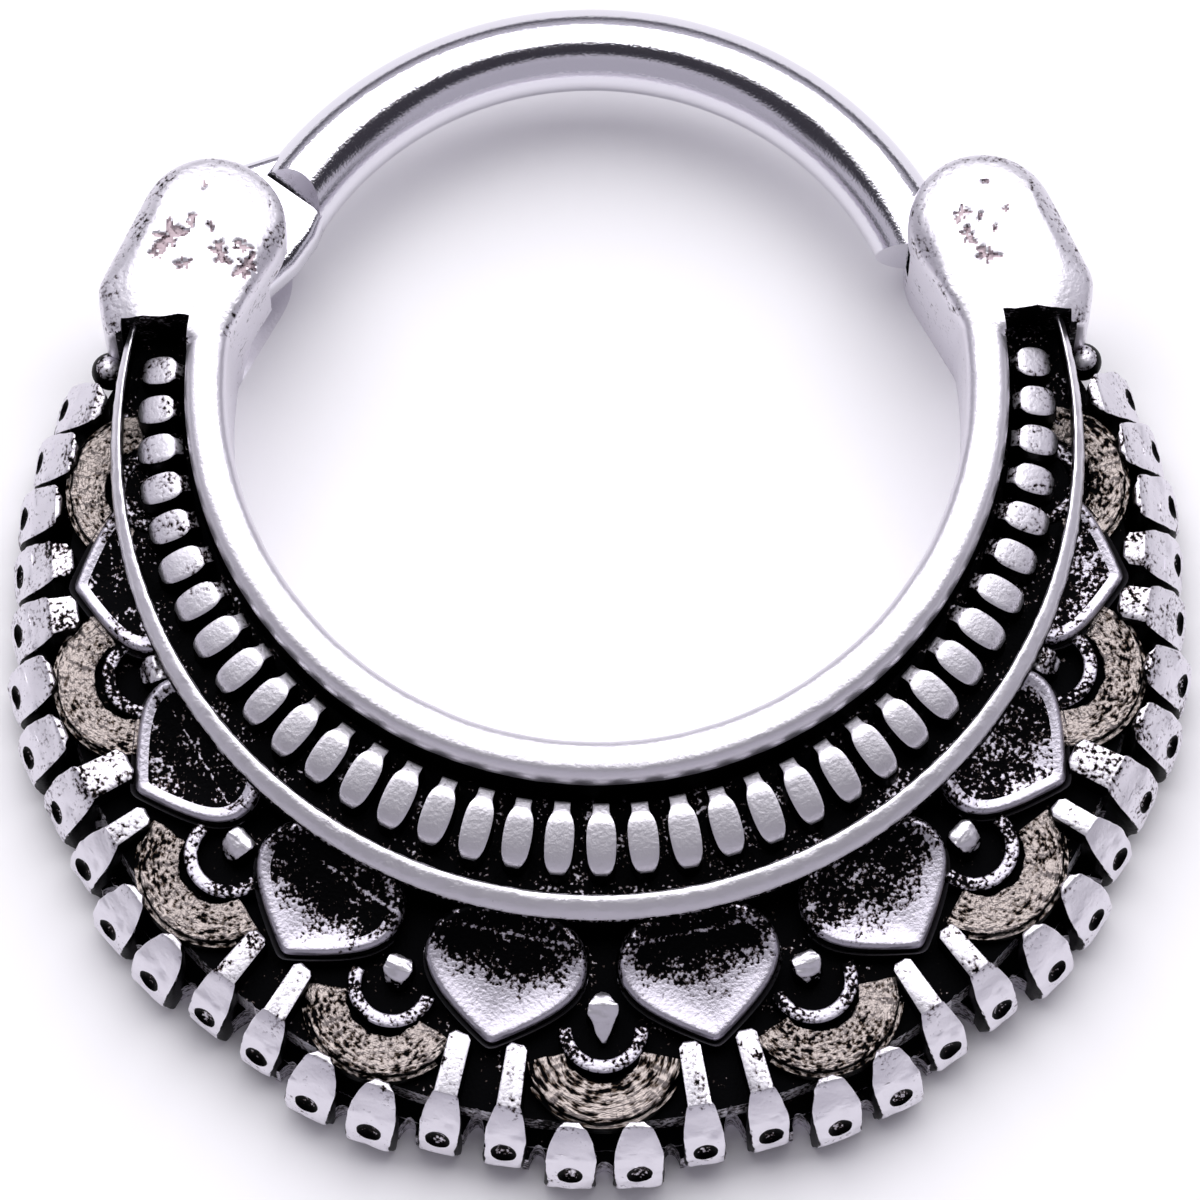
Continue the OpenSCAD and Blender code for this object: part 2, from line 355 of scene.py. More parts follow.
def oxidised_silver(name, bright="#e4e1e8", dull="#a8a3ab", thin="#4a403d", black="#060607",
                    ragged=0.6, patches=0.45, gloss=0.42, pits=0.004, streaked=False):
    """Silver plate from black through thin and dull to bright. Ragged and patches are shares of the rub."""
    made, tree, shader = blank(name)
    if streaked:
        where, unit = node(tree, "Attribute", attribute_name="flow").outputs["Vector"], 1.0
    else:
        where, unit = node(tree, "TexCoord").outputs["Object"], MM
    worn = node(tree, "Attribute", attribute_name="rub")
    fine = node(tree, "TexNoise", {"Vector": where}, Scale=1 / (FINE_PITS * unit), Detail=2.0)
    coarse = node(tree, "TexNoise", {"Vector": where}, Scale=1 / (PATCHES * unit), Detail=3.0)
    spread = node(tree, "MapRange", {"Value": fine.outputs["Fac"]}, **CLOUD,
                  To_Min=-ragged / 2, To_Max=ragged / 2)
    blotch = node(tree, "MapRange", {"Value": coarse.outputs["Fac"]}, **CLOUD,
                  To_Min=-patches / 2, To_Max=patches / 2)
    torn = node(tree, "Math", {0: spread.outputs["Result"], 1: blotch.outputs["Result"]}, operation="ADD")
    total = node(tree, "Math", {0: worn.outputs["Fac"], 1: torn.outputs["Value"]}, operation="ADD")
    skin = node(tree, "ValToRGB", {"Fac": total.outputs["Value"]})
    ramp = skin.color_ramp
    ramp.elements[0].position, ramp.elements[0].color = 0.42, tone(black)
    ramp.elements[1].position, ramp.elements[1].color = 0.78, tone(bright)
    for place_on, colour in ((0.5, thin), (0.58, dull)):
        ramp.elements.new(place_on).color = tone(colour)
    tree.links.new(skin.outputs["Color"], shader.inputs["Base Color"])
    matt = node(tree, "MapRange", {"Value": total.outputs["Value"]}, From_Min=0.35, From_Max=0.75,
                To_Min=0.5, To_Max=gloss)
    tree.links.new(matt.outputs["Result"], shader.inputs["Roughness"])
    pitted = node(tree, "Bump", {"Height": spread.outputs["Result"]}, Distance=pits * MM, Strength=1.0)
    tree.links.new(pitted.outputs["Normal"], shader.inputs["Normal"])
    shader.inputs["Metallic"].default_value = 1.0
    return made


silver = oxidised_silver("oxidised silver plate, rubbed bright")
satin_silver = oxidised_silver("oxidised silver plate, satin", bright="#bdb9c4", dull="#86818b",
                               ragged=0.9, patches=0.6)
band_silver = oxidised_silver("oxidised silver plate, left rough", bright="#aaa09c", dull="#6a605b",
                              thin="#43372e", ragged=1.0, patches=0.6, gloss=0.48, pits=0.02,
                              streaked=True)
pit_silver = oxidised_silver("oxidised silver plate, tarnished pits", bright="#a3949a", dull="#6f6167",
                             thin="#4d3f45", ragged=0.7, patches=0.5, gloss=0.5)
print("materials:", [m.name for m in (silver, satin_silver, band_silver, pit_silver)])

# %% [markdown]
# The bar is surgical steel wire, polished almost to a mirror.
# A mirror shows its surroundings, so it needs a smooth mesh and clean lights more than a busy material.
# A faint cloud in the roughness and a ripple too shallow to feel keep it from looking like chrome.

# %% Polished surgical steel
POLISH_GRAIN, POLISH_RIPPLE = 0.035, 0.0026  # in mm
steel, tree, shader = blank("polished surgical steel")
place = node(tree, "TexCoord")
cloud = node(tree, "TexNoise", {"Vector": place.outputs["Object"]}, Scale=1 / (POLISH_GRAIN * MM),
             Detail=2.0)
shine = node(tree, "MapRange", {"Value": cloud.outputs["Fac"]}, **CLOUD, To_Min=0.07, To_Max=0.16)
tree.links.new(shine.outputs["Result"], shader.inputs["Roughness"])
ripple = node(tree, "Bump", {"Height": cloud.outputs["Fac"]}, Distance=POLISH_RIPPLE * MM,
              Strength=1.0)
tree.links.new(ripple.outputs["Normal"], shader.inputs["Normal"])
shader.inputs["Base Color"].default_value = tone("#dddbe2")
shader.inputs["Metallic"].default_value = 1.0
print("steel ready")

# %% [markdown]
# The rim is a wall round the opening, with an arched crown. It runs up into both lugs.
# On the real ring the crown is a little flattened by polishing, so the section is drawn through
# stations of a flattened arch. Both walls go straight down to the flat back.
# The inner wall is rubbed bright, and the outer one stays black down in the channel.

# %% Rim
RIM_IN, RIM_OUT, RIM_TOP = 5.28, 5.89, 2.6
CROWN_RISE, CROWN_POWER, CROWN_STEPS = 0.3, 2.6, 14  # a higher power gives a flatter crown
RIM_ENDS = 1.63  # the rim is cut off here, inside the lugs


def rim_ring():
    """The full rim, from the foot of its outer wall over the crown to the foot of the inner wall."""
    stations = [(0, RIM_OUT, RIM_OUT, 0.0)]
    for i in range(CROWN_STEPS + 1):
        s = math.cos(math.pi * i / CROWN_STEPS)
        lift = max(0.0, 1 - abs(s) ** CROWN_POWER) ** (1 / CROWN_POWER)
        r = RIM_IN + (RIM_OUT - RIM_IN) * (1 + math.copysign(abs(s) ** 0.9, s)) / 2
        stations.append((0, r, r, RIM_TOP - CROWN_RISE * (1 - lift)))
    return ring(stations + [(0, RIM_IN, RIM_IN, 0.0)], corners=360)


rim = trim(finer(rim_ring(), kind="SIMPLE"), (0, RIM_ENDS, 0), (0, 1, 0))
flat_back(grainy(rim, grain=0.5, depth=0.02))


def rim_rub(p, n):
    out = n[:, 0] * p[:, 0] + n[:, 1] * p[:, 1] > 0
    return np.where(out, 1.4 * ease(p[:, 2], 1.85, 2.4), 1.05 + 0.35 * ease(p[:, 2], 1.9, 2.4))


rub(rim, rim_rub)
rim = finish(rim, "rim", silver)

# %% [markdown]
# The channel between the rim and the ridge is sunk and black, with a rough floor. It is a ring whose
# middle wanders from the rim's centre to the ridge's, cut off under the lugs.
# Its floor is divided finely and then roughened, because grey grains of the casting glint in the black.

# %% Drop channel
CHANNEL_IN, CHANNEL_WIDE, CHANNEL_SHIFT = 5.62, 1.24, -0.73
CHANNEL_FLOOR, FLOOR_STEPS = 1.5, 15
UNDER_LUGS = 1.08  # the channel and the ridge are cut off here
stations = []
for i in range(FLOOR_STEPS + 1):
    r = CHANNEL_IN + CHANNEL_WIDE * i / FLOOR_STEPS
    stations.append((CHANNEL_SHIFT * i / FLOOR_STEPS, r, r, CHANNEL_FLOOR))
channel = ring([(*stations[0][:3], 0.0)] + stations + [(*stations[-1][:3], 0.0)], corners=360)
trim(channel, (0, UNDER_LUGS, 0), (0, 1, 0))
top = channel.vertex_groups.new(name="top")
top.add([v.index for v in channel.data.vertices if v.co.z > CHANNEL_FLOOR - 0.1], 1.0, "REPLACE")
grainy(channel, grain=0.16, depth=0.12, group="top")
rub(channel, lambda p, n: 0.08 + 0.3 * ease(p[:, 2], CHANNEL_FLOOR, CHANNEL_FLOOR + 0.045))
channel = finish(channel, "channel_floor", satin_silver, crease=60)

# %% [markdown]
# Outside the channel runs a low ridge. It is widest at the bottom of the fan and thins out to the lugs,
# because its outer and inner edges are arcs with different middles. The same ring of stations draws it.

# %% Ridge
RIDGE_MIDDLE, RIDGE_R = -0.835, 6.96  # of its outer edge
ridge_section = [(0.0, 0.6), (0.0, 1.98), (0.1, 2.05), (0.25, 2.1), (0.5, 2.14), (0.75, 2.17), (0.9, 2.17),
                 (1.0, 2.1), (1.0, 0.6)]  # share of the way from the outer to the inner edge, and height
stations = [(RIDGE_MIDDLE + 0.205 * s, RIDGE_R - 0.16 * s, RIDGE_R - 0.16 * s, z) for s, z in ridge_section]
ridge = trim(ring(stations, corners=300), (0, UNDER_LUGS, 0), (0, 1, 0))
grainy(finer(ridge, kind="SIMPLE"), grain=0.12, depth=0.03)
rub(ridge, lambda p, n: 1.25 * ease(p[:, 2], 1.96, 2.06))
ridge = finish(ridge, "ridge", silver)

# %% [markdown]
# The drops are small bottles in relief: a narrow neck at the rim, a round belly towards the ridge.
# One is drawn out as a spar and its edges are rounded. The others are copies, shorter towards the lugs.
# Their sides stay black and only their tops are rubbed, a little less on the necks and near the lugs.
# No two real ones are quite alike, so sines of their number vary the width and the length by 3%.

# %% Drops
DROPS_MIDDLE, DROPS_R = (0, -0.315), 6.25
DROP_STEP, DROPS_EACH_SIDE = 5.35, 18  # degrees from one drop to the next, and how many
drop = spar([(-0.52, 0.25, 2.0), (-0.48, 0.26, 2.12), (-0.38, 0.25, 2.16), (-0.3, 0.27, 2.2),
             (-0.22, 0.38, 2.21), (-0.1, 0.44, 2.18), (0.12, 0.45, 2.12), (0.29, 0.42, 2.06),
             (0.39, 0.37, 2.01), (0.45, 0.3, 1.97), (0.49, 0.21, 1.93), (0.52, 0.09, 1.87)])
finer(rounded(drop, 0.06))
drops = []
for i in range(-DROPS_EACH_SIDE, DROPS_EACH_SIDE + 1):
    angle = DROP_STEP * i
    length = 0.66 + 0.38 * math.cos(math.radians(angle))
    one = copy_of(drop)
    one.scale = (1.0 + 0.03 * math.sin(7.1 * i), length * (1 + 0.03 * math.sin(3.7 * i)), 1)
    settle(one)
    worn = 1.5 - 0.45 * ease(abs(angle), 35, 75)

    def drop_rub(p, n):
        neck = ease(-p[:, 1], 0.27 * length, 0.33 * length)
        return -0.2 + worn * ease(n[:, 2], 0.25, 0.6) - 0.3 * neck

    rub(one, drop_rub)
    one.location = (0, DROPS_R + 0.04 * math.cos(math.radians(angle)), 0)
    settle(one)
    drops.append(spoke(one, angle, DROPS_MIDDLE))
bpy.data.objects.remove(drop)
drops = finish(joined(drops), "drops", silver, crease=50)

# %% [markdown]
# The fan's plate carries all the outer work. Its outline is very nearly an ellipse.
# It is one ring, with a lower skirt round its edge that the prongs stand on.

# %% Fan plate
PLATE_MIDDLE, FAN_FLOOR, PLATE_ENDS = -3.1, 1.2, 1.05
CELL_STEP, PRONG_STEP = 24, 6  # in degrees round FAN


def reach(angle):
    """How far the fan reaches from FAN at an angle: 9.4 mm straight down, 8.3 mm to the sides."""
    a = math.radians(angle)
    return 8.225 + 1.269 * math.cos(a) - 0.119 * math.cos(2 * a)


def from_cell(angle):
    """The angle to the nearest cell's middle."""
    return abs(angle - CELL_STEP * round(angle / CELL_STEP))


plate = ring([(PLATE_MIDDLE, 7.95, 7.68, 0.0), (PLATE_MIDDLE, 7.96, 7.69, 0.7),
              (PLATE_MIDDLE, 7.70, 7.44, 0.8), (PLATE_MIDDLE, 7.66, 7.4, FAN_FLOOR),
              (-2.0, 6.9, 6.9, FAN_FLOOR), (-1.0, 6.4, 6.4, FAN_FLOOR),
              (0, CHANNEL_IN, CHANNEL_IN, FAN_FLOOR), (0, CHANNEL_IN, CHANNEL_IN, 0.0)], corners=288)
trim(plate, (0, PLATE_ENDS, 0), (0, 1, 0))
print("fan reaches from", round(reach(90), 2), "to", round(reach(0), 2), "mm")

# %% [markdown]
# Thin webs of metal are left in most of the gaps between prongs, and each gap is filed out in a
# notch, deepest below the hearts' points. The notches are made as the file would: one round tool,
# copied to each gap, and all cut in one go.

# %% Webs and notches
NOTCHES = {0: (0.34, 0.13), 1: (0.52, 0.13), 2: (0.79, 0.17)}  # depth and radius, by steps from a cell
files, webs = [], []
for i in range(-17, 18):
    angle = float(PRONG_STEP * i)
    inside = round(from_cell(angle) / PRONG_STEP)
    deep, wide = NOTCHES[inside]
    if inside < 2:
        back, front = reach(angle) - 0.7, reach(angle) - 0.19 - 0.12 * inside
        web = block((0, (front + back) / 2, 0.31), (0.44, front - back, 0.62))
        webs.append(spoke(web, angle))
    tool = cylinder((0, 0, 0), wide, 3, sides=24)
    tool.scale = (1, 1 + inside, 1)
    settle(tool)
    tool.location = (0, reach(angle) - deep + wide * (1 + inside), 0)
    settle(tool)
    files.append(spoke(tool, angle))
cut(plate, joined(webs), "UNION", overlaps=True)
cut(plate, joined(files))
rub(plate, lambda p, n: np.where(n[:, 2] < -0.5, 0.95, np.where(n[:, 2] > 0.5, 0.1, 0.62)))
plate = finish(plate, "fan_plate", silver, crease=30)

# %% [markdown]
# The hearts are cast like small shields. Each one starts as a filled circle, and its outer end is pulled
# into a point with proportional editing, as a wax modeller would draw it out with a tool.
# Two insets raise the edge, and smaller and smaller steps sink the dish inside it.
# The raised edge is marked before the mesh is smoothed, so that it can be rubbed on its own.
# Last, the top is tilted, because the inner end of each heart dips under the ridge.

# %% One heart
HEART_Y, HEART_WIDE, HEART_FACE = 6.55, 1.16, 1.87  # middle, half width and height of its face
HEART_TILT = 13
EDGE_RISE, EDGE_HEIGHTS = 0.055, (1.8975, 1.91, 1.925)  # the faces of the raised edge lie at these heights


def heart_tip(angle):
    """How far the point of the heart at an angle is from FAN."""
    return 7.785 - 0.19 * (1 - math.cos(math.radians(angle)))


def heart_model(angle):
    """A heart along +Y, as long as the one at an angle."""
    calm()
    half = heart_tip(angle) - HEART_Y
    bpy.ops.mesh.primitive_circle_add(vertices=48, radius=1, fill_type="NGON")
    piece = bpy.context.object
    piece.scale, piece.location = (HEART_WIDE, 0.7 * half, 1), (0, HEART_Y, HEART_FACE)
    settle(piece)
    pick(piece, "VERT", lambda v: v.y > HEART_Y + 0.7 * half - 0.005)
    bpy.ops.transform.translate(value=(0, 0.3 * half, 0), use_proportional_edit=True,
                                proportional_edit_falloff="SHARP", proportional_size=1.15,
                                use_proportional_connected=True)
    edit("FACE")
    bpy.ops.mesh.inset(thickness=0.07, depth=EDGE_RISE)
    bpy.ops.mesh.inset(thickness=0.05, depth=0.0)
    for size, sink in ((0.9, 0.03), (0.82, 0.03), (0.72, 0.02), (0.5, 0.01)):
        bpy.ops.mesh.extrude_region_move(TRANSFORM_OT_translate={"value": (0, 0, -sink)})
        bpy.ops.transform.resize(value=(size, size, 1), center_override=(0, 6.6, HEART_FACE))
    bpy.ops.mesh.poke()
    calm()
    edge = piece.data.attributes.new("edge", "FLOAT", "FACE")
    for f in piece.data.polygons:
        edge.data[f.index].value = float(min(abs(f.center.z - z) for z in EDGE_HEIGHTS) < 0.004)
    pick(piece, "EDGE", lambda v: abs(v.z - HEART_FACE) < 0.002)
    bpy.ops.mesh.extrude_region_move(TRANSFORM_OT_translate={"value": (0, 0, -0.3)})
    bpy.ops.transform.resize(value=(1.02, 1.02, 1))
    bpy.ops.mesh.extrude_region_move(TRANSFORM_OT_translate={"value": (0, 0, -0.45)})
    bpy.ops.mesh.edge_face_add()
    calm()
    finer(piece, levels=2)
    pick(piece, "VERT", lambda v: v.z > 1.6)
    bpy.ops.transform.rotate(value=math.radians(HEART_TILT), orient_axis="X",
                             center_override=(0, 6.2, 1.93))
    calm()
    return piece


print("a heart is", round(2 * HEART_WIDE, 2), "mm wide and tilted by", HEART_TILT, "degrees")

# %% [markdown]
# Eight hearts stand between the nine cells. The cloth ran over their points and left the hollow near
# the ridge black. The hearts at the sides were hardly rubbed, and those on the right a little more.
# All are cut off in one go by the ridge's own circle.

# %% All hearts
HEART_DARK = {-84: 0.16, -60: 0.14, -36: 0.02, -12: 0.05, 12: 0.06, 36: 0.2, 60: 0.34, 84: 0.34}
HEART_SHINE = {12: 1.3, 36: 1.2, 60: 0.42, 84: 0.3}
hearts = []
for i in range(8):
    angle = CELL_STEP * (i - 3.5)
    one = heart_model(angle)
    tip = heart_tip(angle)
    top = RIDGE_R - (RIDGE_MIDDLE - FAN[1]) * math.cos(math.radians(angle))  # where the ridge covers it
    late = 0.16 * abs(math.sin(math.radians(angle)))

    def heart_rub(p, n):
        along = (p[:, 1] - top) / (tip - top)
        rubbed = HEART_SHINE[abs(angle)] * ease(along + 0.12 * np.abs(p[:, 0]) - late, 0.2, 0.8)
        line = 0.5 * (1 - ease(np.abs(along - 0.13), 0.0, 0.03))
        raised = np.array([d.value for d in one.data.attributes["edge"].data])
        least = 0.3 if abs(angle) < 40 else 0.75
        raised = (least + 0.75 * ease(along, 0.15, 0.5)) * (raised > 0.5)
        face = np.maximum(np.maximum(HEART_DARK[angle] + rubbed, line), raised)
        return np.where(n[:, 2] > 0.25, face, -0.1)

    rub(one, heart_rub)
    hearts.append(spoke(one, angle))
hearts = cut(joined(hearts), cylinder((0, RIDGE_MIDDLE, 0), RIDGE_R - 0.06, 6, sides=240))
hearts = finish(hearts, "hearts", satin_silver, crease=40)

# %% [markdown]
# Between two hearts sits a cell: a nub, a thin arch round it, and a broad rough band with a thin rib
# outside. Arch, band and rib are each a small upright face that is spun round the cell's own middle.

# %% An arc
CELL_FOOT = 1.1  # arches and bands start under the fan's floor


def arc(radius, wide, high, sweep, steps, middle):
    """Part of a ring about a middle on the +Y axis, open towards the opening of the ring."""
    calm()
    bpy.ops.mesh.primitive_plane_add(size=1, rotation=(0, math.pi / 2, 0))
    piece = bpy.context.object
    piece.scale, piece.location = (high - CELL_FOOT, wide, 1), (0, radius, (CELL_FOOT + high) / 2)
    settle(piece)
    piece.rotation_euler = (0, 0, math.radians(-sweep))
    settle(piece)
    edit("FACE")
    bpy.ops.mesh.spin(steps=steps, angle=-math.radians(2 * sweep), center=(0, 0, 0), axis=(0, 0, 1))
    bpy.ops.mesh.select_all(action="SELECT")
    bpy.ops.mesh.normals_make_consistent(inside=False)
    calm()
    piece.location = (0, middle, 0)
    return settle(piece)


cell_angles = [CELL_STEP * i for i in range(-4, 5)]
print(len(cell_angles), "cells")

# %% [markdown]
# The arch is low and narrow, and brightest at its crown. The arches near the lugs were rubbed less.

# %% Arches
arches = []
for angle in cell_angles:
    far = reach(angle)
    arch = rounded(arc(0.63 - 0.01 * far, 0.21, 1.55, 95, 40, 0.852 * far - 0.65), 0.055, sharper=40)
    worn = 1.0 if abs(angle) < 60 else 0.75

    def arch_rub(p, n):
        crown = 0.58 + 0.4 * np.exp(-(p[:, 0] / 0.3) ** 2)
        return -0.1 + worn * crown * ease(n[:, 2], 0.3, 0.8)

    arches.append(spoke(rub(arch, arch_rub), angle))
arches = finish(joined(arches), "cell_arches", satin_silver, crease=50)

# %% [markdown]
# The band was left as cast: its top is torn, so it is divided finely and pushed up and down by clouds.
# Clouds are fixed in space, so each band is roughened in a place of its own, 20 mm on from the last,
# and none repeats another. Its black runs in streaks along the arc: each point gets a flow vector
# of its way round, its way out and its height, and the finish reads its clouds there.

# %% Rough bands
BAND_WORN = {-96: 1.0, -72: 0.98, 72: 0.84, 96: 0.78}  # the others have 0.85
APART = 20
bands = []
for k, angle in enumerate(cell_angles):
    far = reach(angle)
    middle = 0.924 * far - 1.12
    rib = arc(1.17, 0.06, 1.42, 60, 40, middle)
    rub(rib, lambda p, n: -0.1 + 0.7 * ease(n[:, 2], 0.3, 0.8))
    band = rounded(arc(1.075 - 0.0245 * far, 0.0613 * far, 1.53, 78, 60, middle), 0.08, sharper=40)
    pick(band, "FACE", lambda c, n: n.z > 0.9)
    bpy.ops.mesh.subdivide(number_cuts=3)
    calm()
    band.location = (0, APART * k, 0)
    grainy(settle(band), grain=0.16, depth=0.1)
    band.location = (0, -APART * k, 0)
    settle(band)
    worn = BAND_WORN.get(angle, 0.85)
    rub(band, lambda p, n: -0.1 + worn * ease(n[:, 2], 0.3, 0.8))
    drawn = 0.25 if angle == 0 else 0.6  # the smaller, the longer the streaks

    def flow_of(v):
        x, y = v.co.x, v.co.y - middle
        return drawn * math.atan2(x, y), math.hypot(x, y), 0.5 * v.co.z + 3 * k

    for piece in (band, rib):
        flow = piece.data.attributes.new("flow", "FLOAT_VECTOR", "POINT")
        vectors = np.array([flow_of(v) for v in piece.data.vertices], np.float32)
        flow.data.foreach_set("vector", vectors.ravel())
        bands.append(spoke(piece, angle))
bands = finish(joined(bands), "rough_bands", band_silver, crease=60)

# %% [markdown]
# The nub at the head of each cell is a small lump with a bright top that slopes down outwards.
# It is drawn out as a spar that gets wider and then narrower. The middle one ends in a long point.

# %% Nubs
nubs = []
for angle in cell_angles:
    far = reach(angle)
    start = 0.733 * far
    if angle == 0:
        shape = [(start - 0.08, 0.1, 1.62), (start + 0.02, 0.25, 1.75), (start + 0.16, 0.46, 1.79),
                 (start + 0.3, 0.44, 1.7), (start + 0.47, 0.27, 1.57), (0.8 * far + 0.02, 0.06, 1.45)]
    else:
        shape = [(start + 0.02, 0.2, 1.6), (start + 0.08, 0.38, 1.76), (start + 0.24, 0.45, 1.79),
                 (start + 0.38, 0.38, 1.7), (start + 0.48, 0.2, 1.55)]
    nub = grainy(finer(rounded(spar(shape), 0.05), levels=2), grain=0.15, depth=0.08)
    worn = 1.45 if abs(angle) < 60 else 0.85
    rub(nub, lambda p, n: -0.2 + worn * ease(n[:, 2], 0.2, 0.6))
    nubs.append(spoke(nub, angle))
nubs = finish(flat_back(joined(nubs)), "cell_nubs", silver, crease=50)

# %% [markdown]
# Thirty-six prongs stand round the edge, in pairs beside each heart's point and in pairs under each cell.
# Each has a level top, a slope, and a steep toe with a round dimple. Three models are drawn out as
# spars: a short broad one for the cells, a long narrow one for the hearts, and a stout one for both
# sides of the fan. The dimple is cut with a ball. Its floor was rubbed a little, and its wall wasn't.

# %% One prong
CREST, PRONG_LONG = 1.7, 0.75
TOE_OUT = Vector((0, 0.915, 0.403))  # the way that the toe's face looks


def prong_model(wide, neck, dimple, worn=1.0):
    """A prong with its tip at y = 0 and its root at y = -PRONG_LONG."""
    piece = spar([(-PRONG_LONG, 0.28 * neck, 1.5), (-0.7, 0.5 * neck, CREST), (-0.6, neck, CREST),
                  (-0.5, 0.65 * neck + 0.35 * wide, 1.6), (-0.4, 0.25 * neck + 0.75 * wide, 1.46),
                  (-0.3, 0.97 * wide, 1.34), (-0.2, wide, 1.2), (-0.09, 0.96 * wide, 0.95),
                  (-0.03, 0.87 * wide, 0.76), (0, 0.66 * wide, 0.6)])
    trim(piece, (0, 0, 0.55), (0, 0.955, -0.295))  # the foot is set back under the toe
    finer(rounded(piece, 0.06, sharper=25))
    pick(piece, "FACE", lambda c, n: c.y > -0.3 and n.y > 0.4 and c.z > 0.6)
    bpy.ops.mesh.subdivide(number_cuts=3)
    calm()
    grainy(piece, grain=0.3, depth=0.05)
    size = 1.25 * dimple
    ball = Vector((0, -0.1, 0.93)) + 0.85 * dimple * TOE_OUT
    bpy.ops.mesh.primitive_uv_sphere_add(segments=32, ring_count=16, radius=size, location=ball)
    cut(piece, bpy.context.object)

    def prong_rub(p, n):
        shown = np.maximum(ease(n[:, 2], 0.05, 0.35), 0.9 * ease(n[:, 1], 0.55, 0.8))
        value = -0.15 + worn * (0.95 + 0.3 * ease(p[:, 1], -0.62, -0.4)) * shown * ease(p[:, 2], 0.1, 0.3)
        way = np.array(ball) - p
        far_off = np.linalg.norm(way, axis=1)
        tilt = np.degrees(np.arccos(np.clip((way @ np.array(TOE_OUT)) / far_off, -1, 1)))
        hollow = (np.abs(far_off - size) < 0.006) & ((way * n).sum(axis=1) > 0.9 * far_off)
        return np.where(hollow, 0.42 - 0.7 * ease(tilt, 24, 36), value)

    return rub(piece, prong_rub)


models = {"short": prong_model(0.73, 0.46, 0.185), "long": prong_model(0.6, 0.4, 0.185),
          "side": prong_model(0.76, 0.62, 0.175, 0.84)}
print("prong models:", {name: len(model.data.polygons) for name, model in models.items()})

# %% [markdown]
# The copies differ in the place of their tip and in the length of their root, which is pulled to its
# place before the prong is turned to its angle. All of them are then roughened together, so that the
# clouds fall on each in another place and no two are alike.

# %% All prongs
STOUT_FROM = math.cos(math.radians(60))  # the stout prongs stand further than this from straight down
SET_BACK = 0.035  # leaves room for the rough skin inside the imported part's box
prongs = []
for i in range(-18, 18):
    angle = PRONG_STEP * i + 3
    near = from_cell(angle) < PRONG_STEP
    c = math.cos(math.radians(angle))
    tip = reach(angle) + (0.12 - 0.05 * c if near else 0.05 - 0.2 * c)
    root = 0.928 * reach(angle) if near else min(7.65 if c > STOUT_FROM else 7.5, tip - 0.78)
    one = copy_of(models["side" if c < STOUT_FROM else "short" if near else "long"])
    pick(one, "VERT", lambda v: v.y < -0.62)
    bpy.ops.transform.translate(value=(0, PRONG_LONG - (tip - root), 0))
    calm()
    one.location = (0, tip - SET_BACK, 0)
    settle(one)
    prongs.append(spoke(one, angle))
for model in models.values():
    bpy.data.objects.remove(model)
prongs = flat_back(grainy(joined(prongs), grain=0.45, depth=0.07))
prongs = finish(prongs, "prongs", silver, crease=45)

# %% [markdown]
# Where the fan ends beneath each lug, one small round bead fills the corner.

# %% End beads
BEAD_R, BEAD_X, BEAD_Y, BEAD_Z = 0.275, 7.02, 0.71, 1.06
beads = []
for side in (-1, 1):
    bpy.ops.mesh.primitive_uv_sphere_add(segments=32, ring_count=16, radius=BEAD_R,
                                         location=(side * BEAD_X, BEAD_Y, BEAD_Z))
    beads.append(settle(bpy.context.object))
beads = rub(joined(beads), lambda p, n: -0.1 + 0.9 * ease(n[:, 2], 0.5, 0.9))
beads = finish(beads, "end_beads", silver, crease=60)

# %% [markdown]
# The two lugs are round domes that the rim runs up into. Each is built from plain solids: the skin
# round a few low and high posts, cut to a dome by a big ball and sloped down to the fan, and a stub of
# the rim. A voxel remesh melts them together, and smoothing takes the joints away, so that dome and
# rim flow into each other like worn casting. At the end of the channel a pocket was left rough as
# cast. It is a block that is divided, roughened, kept off the rim and then cut out.

# %% The body of a lug
PIVOT, CATCH = (-5.5, 2.45), (5.56, 2.38)  # the middles of the left and the right dome
LOW, HIGH = 2.4, 2.8  # how high the posts stand
LOW_POSTS = [(6.9, 1.5, 0.24), (6.93, 0.95, 0.13), (5.36, 0.8, 0.12)]  # x, y and radius
HIGH_POSTS = [(6.35, 1.5, 0.1), (6.4, 0.95, 0.1), (5.48, 0.8, 0.1)]
BALL_SIZE, BALL_X, BALL_Y, BALL_Z = (2.4, 2.9, 1.95), 5.7, 1.8, 0.85
POCKET_X, POCKET_Y, POCKET_WIDE, POCKET_LONG = 6.1, 0.04, 1.38, 2


def hull(solids):
    """The tight skin round several solids."""
    piece = joined(solids)
    edit("VERT")
    bpy.ops.mesh.convex_hull()
    bpy.ops.mesh.select_all(action="SELECT")
    bpy.ops.mesh.dissolve_limited(angle_limit=math.radians(1))
    calm()
    return piece


def post(x, y, radius, high=LOW):
    """An upright cylinder from 0.4 mm under the table to a height."""
    return cylinder((x, y, high / 2 - 0.2), radius, high + 0.4)


def lug_stub(side):
    """The stretch of rim that runs up into a lug."""
    stub = trim(rim_ring(), (0, 2.2, 0), (0, 1, 0))
    trim(stub, (0, 0.5, 0), (0, -1, 0))
    return trim(stub, (0, 0, 0), (-side, 0, 0))


